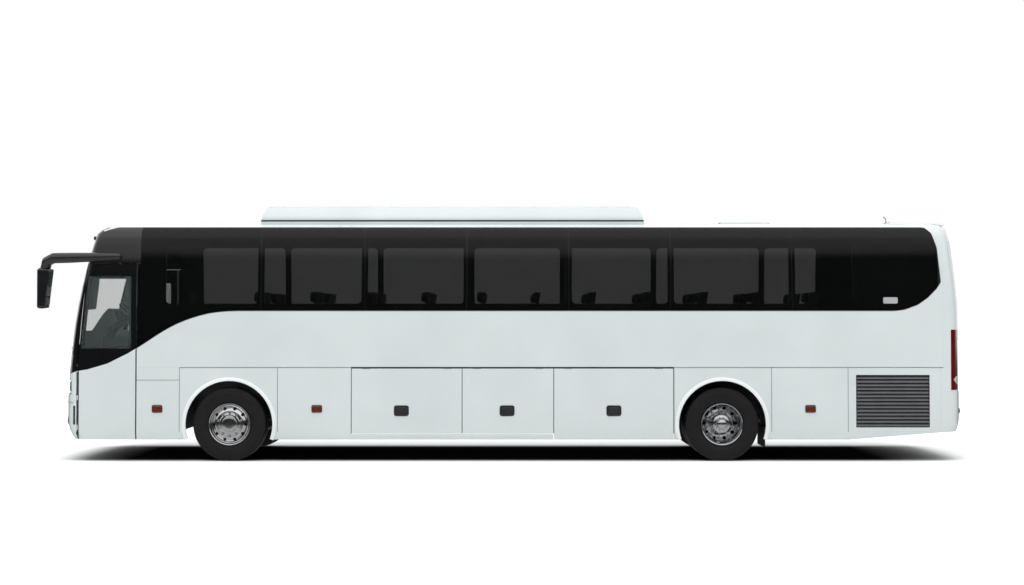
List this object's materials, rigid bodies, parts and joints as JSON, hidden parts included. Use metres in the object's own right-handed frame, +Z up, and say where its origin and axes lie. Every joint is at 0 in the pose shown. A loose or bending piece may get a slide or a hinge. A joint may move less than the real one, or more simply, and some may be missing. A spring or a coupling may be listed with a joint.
{
  "type": "coach bus",
  "caption": "Two-axle touring coach with hollow cabin, front doors, luggage hatches, engine door, roof hatch, steered front wheels and twin rear wheels.",
  "frame": {"origin": "on the ground under the centre of the coach's bounding box, which includes the mirrors", "axes": "+Z up, +X towards the rear, +Y towards the coach's right-hand side"},
  "size_m": [13.22, 2.7202, 3.683],
  "materials": {
    "body_paint": "gloss",
    "dark_band": "gloss",
    "tinted_glass": "gloss",
    "clear_glass": "gloss",
    "lamp_clear": "gloss",
    "lamp_red": "gloss",
    "black_plastic": "matte",
    "hinge_steel": "satin",
    "chassis_paint": "satin",
    "floor_covering": "matte",
    "cast_metal": "matte",
    "tyre_rubber": "matte",
    "rim_chrome": "polished",
    "seat_fabric": "matte"
  },
  "bodies": {
    "coach_body": {"roof": "body_paint", "side_wall_left": "body_paint", "side_wall_right": "body_paint", "side_windows": "tinted_glass", "front_frame": "dark_band", "windscreen": "clear_glass", "front_panel": "body_paint", "front_bumper": "body_paint", "headlamps": "lamp_clear", "rear_panel": "body_paint", "rear_window": "tinted_glass", "tail_lamps": "lamp_red", "rear_bumper": "body_paint", "skirt_left": "body_paint", "skirt_right": "body_paint", "door_hinges": "hinge_steel", "side_grilles": "black_plastic", "roof_air_conditioner": "body_paint", "mirrors": "black_plastic", "floor": "floor_covering", "wheel_housings": "black_plastic", "mudflaps": "tyre_rubber", "chassis_frame": "chassis_paint", "front_axle": "chassis_paint", "rear_axle": "chassis_paint", "engine_block": "cast_metal", "seats": "seat_fabric", "dashboard": "black_plastic", "steering_wheel": "black_plastic"},
    "driver_door": {"driver_door": "body_paint", "driver_door_window": "clear_glass"},
    "entry_door": {"entry_door": "body_paint", "entry_door_window": "clear_glass"},
    "engine_door": {"engine_door": "body_paint"},
    "roof_hatch": {"roof_hatch": "body_paint"},
    "knuckle_left": {"steering_knuckle_left": "cast_metal"},
    "knuckle_right": {"steering_knuckle_right": "cast_metal"},
    "tie_rod": {"tie_rod": "cast_metal"},
    "front_wheel_left": {"front_tyre_left": "tyre_rubber", "front_rim_left": "rim_chrome"},
    "front_wheel_right": {"front_tyre_right": "tyre_rubber", "front_rim_right": "rim_chrome"},
    "rear_wheels_left": {"rear_tyres_left": "tyre_rubber", "rear_rims_left": "rim_chrome"},
    "rear_wheels_right": {"rear_tyres_right": "tyre_rubber", "rear_rims_right": "rim_chrome"},
    "luggage_door_left_1": {"luggage_door_left_1": "body_paint"},
    "luggage_door_left_2": {"luggage_door_left_2": "body_paint"},
    "luggage_door_left_3": {"luggage_door_left_3": "body_paint"},
    "luggage_door_right_1": {"luggage_door_right_1": "body_paint"},
    "luggage_door_right_2": {"luggage_door_right_2": "body_paint"},
    "luggage_door_right_3": {"luggage_door_right_3": "body_paint"}
  },
  "joints": [
    {"name": "driver_door_hinge", "type": "hinge", "parent": "coach_body", "child": "driver_door", "pos_m": [-6.025, -1.27, 0.9], "axis": [0, 0, -1], "range_deg": [0, 80]},
    {"name": "entry_door_hinge", "type": "hinge", "parent": "coach_body", "child": "entry_door", "pos_m": [-6.025, 1.27, 0.9], "axis": [0, 0, 1], "range_deg": [0, 80]},
    {"name": "luggage_door_left_1_hinge", "type": "hinge", "parent": "coach_body", "child": "luggage_door_left_1", "pos_m": [-1.3495, -1.27, 1.323], "axis": [-1, 0, 0], "range_deg": [0, 85]},
    {"name": "luggage_door_left_2_hinge", "type": "hinge", "parent": "coach_body", "child": "luggage_door_left_2", "pos_m": [0.0875, -1.27, 1.323], "axis": [-1, 0, 0], "range_deg": [0, 85]},
    {"name": "luggage_door_left_3_hinge", "type": "hinge", "parent": "coach_body", "child": "luggage_door_left_3", "pos_m": [1.589, -1.27, 1.323], "axis": [-1, 0, 0], "range_deg": [0, 85]},
    {"name": "luggage_door_right_1_hinge", "type": "hinge", "parent": "coach_body", "child": "luggage_door_right_1", "pos_m": [-1.3495, 1.27, 1.323], "axis": [1, 0, 0], "range_deg": [0, 85]},
    {"name": "luggage_door_right_2_hinge", "type": "hinge", "parent": "coach_body", "child": "luggage_door_right_2", "pos_m": [0.0875, 1.27, 1.323], "axis": [1, 0, 0], "range_deg": [0, 85]},
    {"name": "luggage_door_right_3_hinge", "type": "hinge", "parent": "coach_body", "child": "luggage_door_right_3", "pos_m": [1.589, 1.27, 1.323], "axis": [1, 0, 0], "range_deg": [0, 85]},
    {"name": "engine_door_hinge", "type": "hinge", "parent": "coach_body", "child": "engine_door", "pos_m": [6.591, 0, 1.91], "axis": [0, -1, 0], "range_deg": [0, 80]},
    {"name": "roof_hatch_hinge", "type": "hinge", "parent": "coach_body", "child": "roof_hatch", "pos_m": [3.246, 0, 3.451], "axis": [0, -1, 0], "range_deg": [0, 60]},
    {"name": "steering_left", "type": "hinge", "parent": "coach_body", "child": "knuckle_left", "pos_m": [-3.87, -0.918, 0.522], "axis": [0, 0, 1], "range_deg": [-40, 40]},
    {"name": "steering_right", "type": "hinge", "parent": "coach_body", "child": "knuckle_right", "pos_m": [-3.87, 0.918, 0.522], "axis": [0, 0, 1], "range_deg": [-40, 40]},
    {"name": "tie_rod_pivot", "type": "hinge", "parent": "knuckle_left", "child": "tie_rod", "pos_m": [-3.64, -0.918, 0.462], "axis": [0, 0, 1], "range_deg": [-40, 40]},
    {"name": "front_wheel_left_roll", "type": "hinge", "parent": "knuckle_left", "child": "front_wheel_left", "pos_m": [-3.87, -1.108, 0.522], "axis": [0, 1, 0], "continuous": true},
    {"name": "rear_wheels_left_roll", "type": "hinge", "parent": "coach_body", "child": "rear_wheels_left", "pos_m": [3.13, -1.108, 0.522], "axis": [0, 1, 0], "continuous": true},
    {"name": "front_wheel_right_roll", "type": "hinge", "parent": "knuckle_right", "child": "front_wheel_right", "pos_m": [-3.87, 1.108, 0.522], "axis": [0, 1, 0], "continuous": true},
    {"name": "rear_wheels_right_roll", "type": "hinge", "parent": "coach_body", "child": "rear_wheels_right", "pos_m": [3.13, 1.108, 0.522], "axis": [0, 1, 0], "continuous": true}
  ],
  "couplings": [
    {"joint": "steering_right", "follows": "steering_left", "ratio": 1},
    {"joint": "tie_rod_pivot", "follows": "steering_left", "ratio": -1}
  ]
}
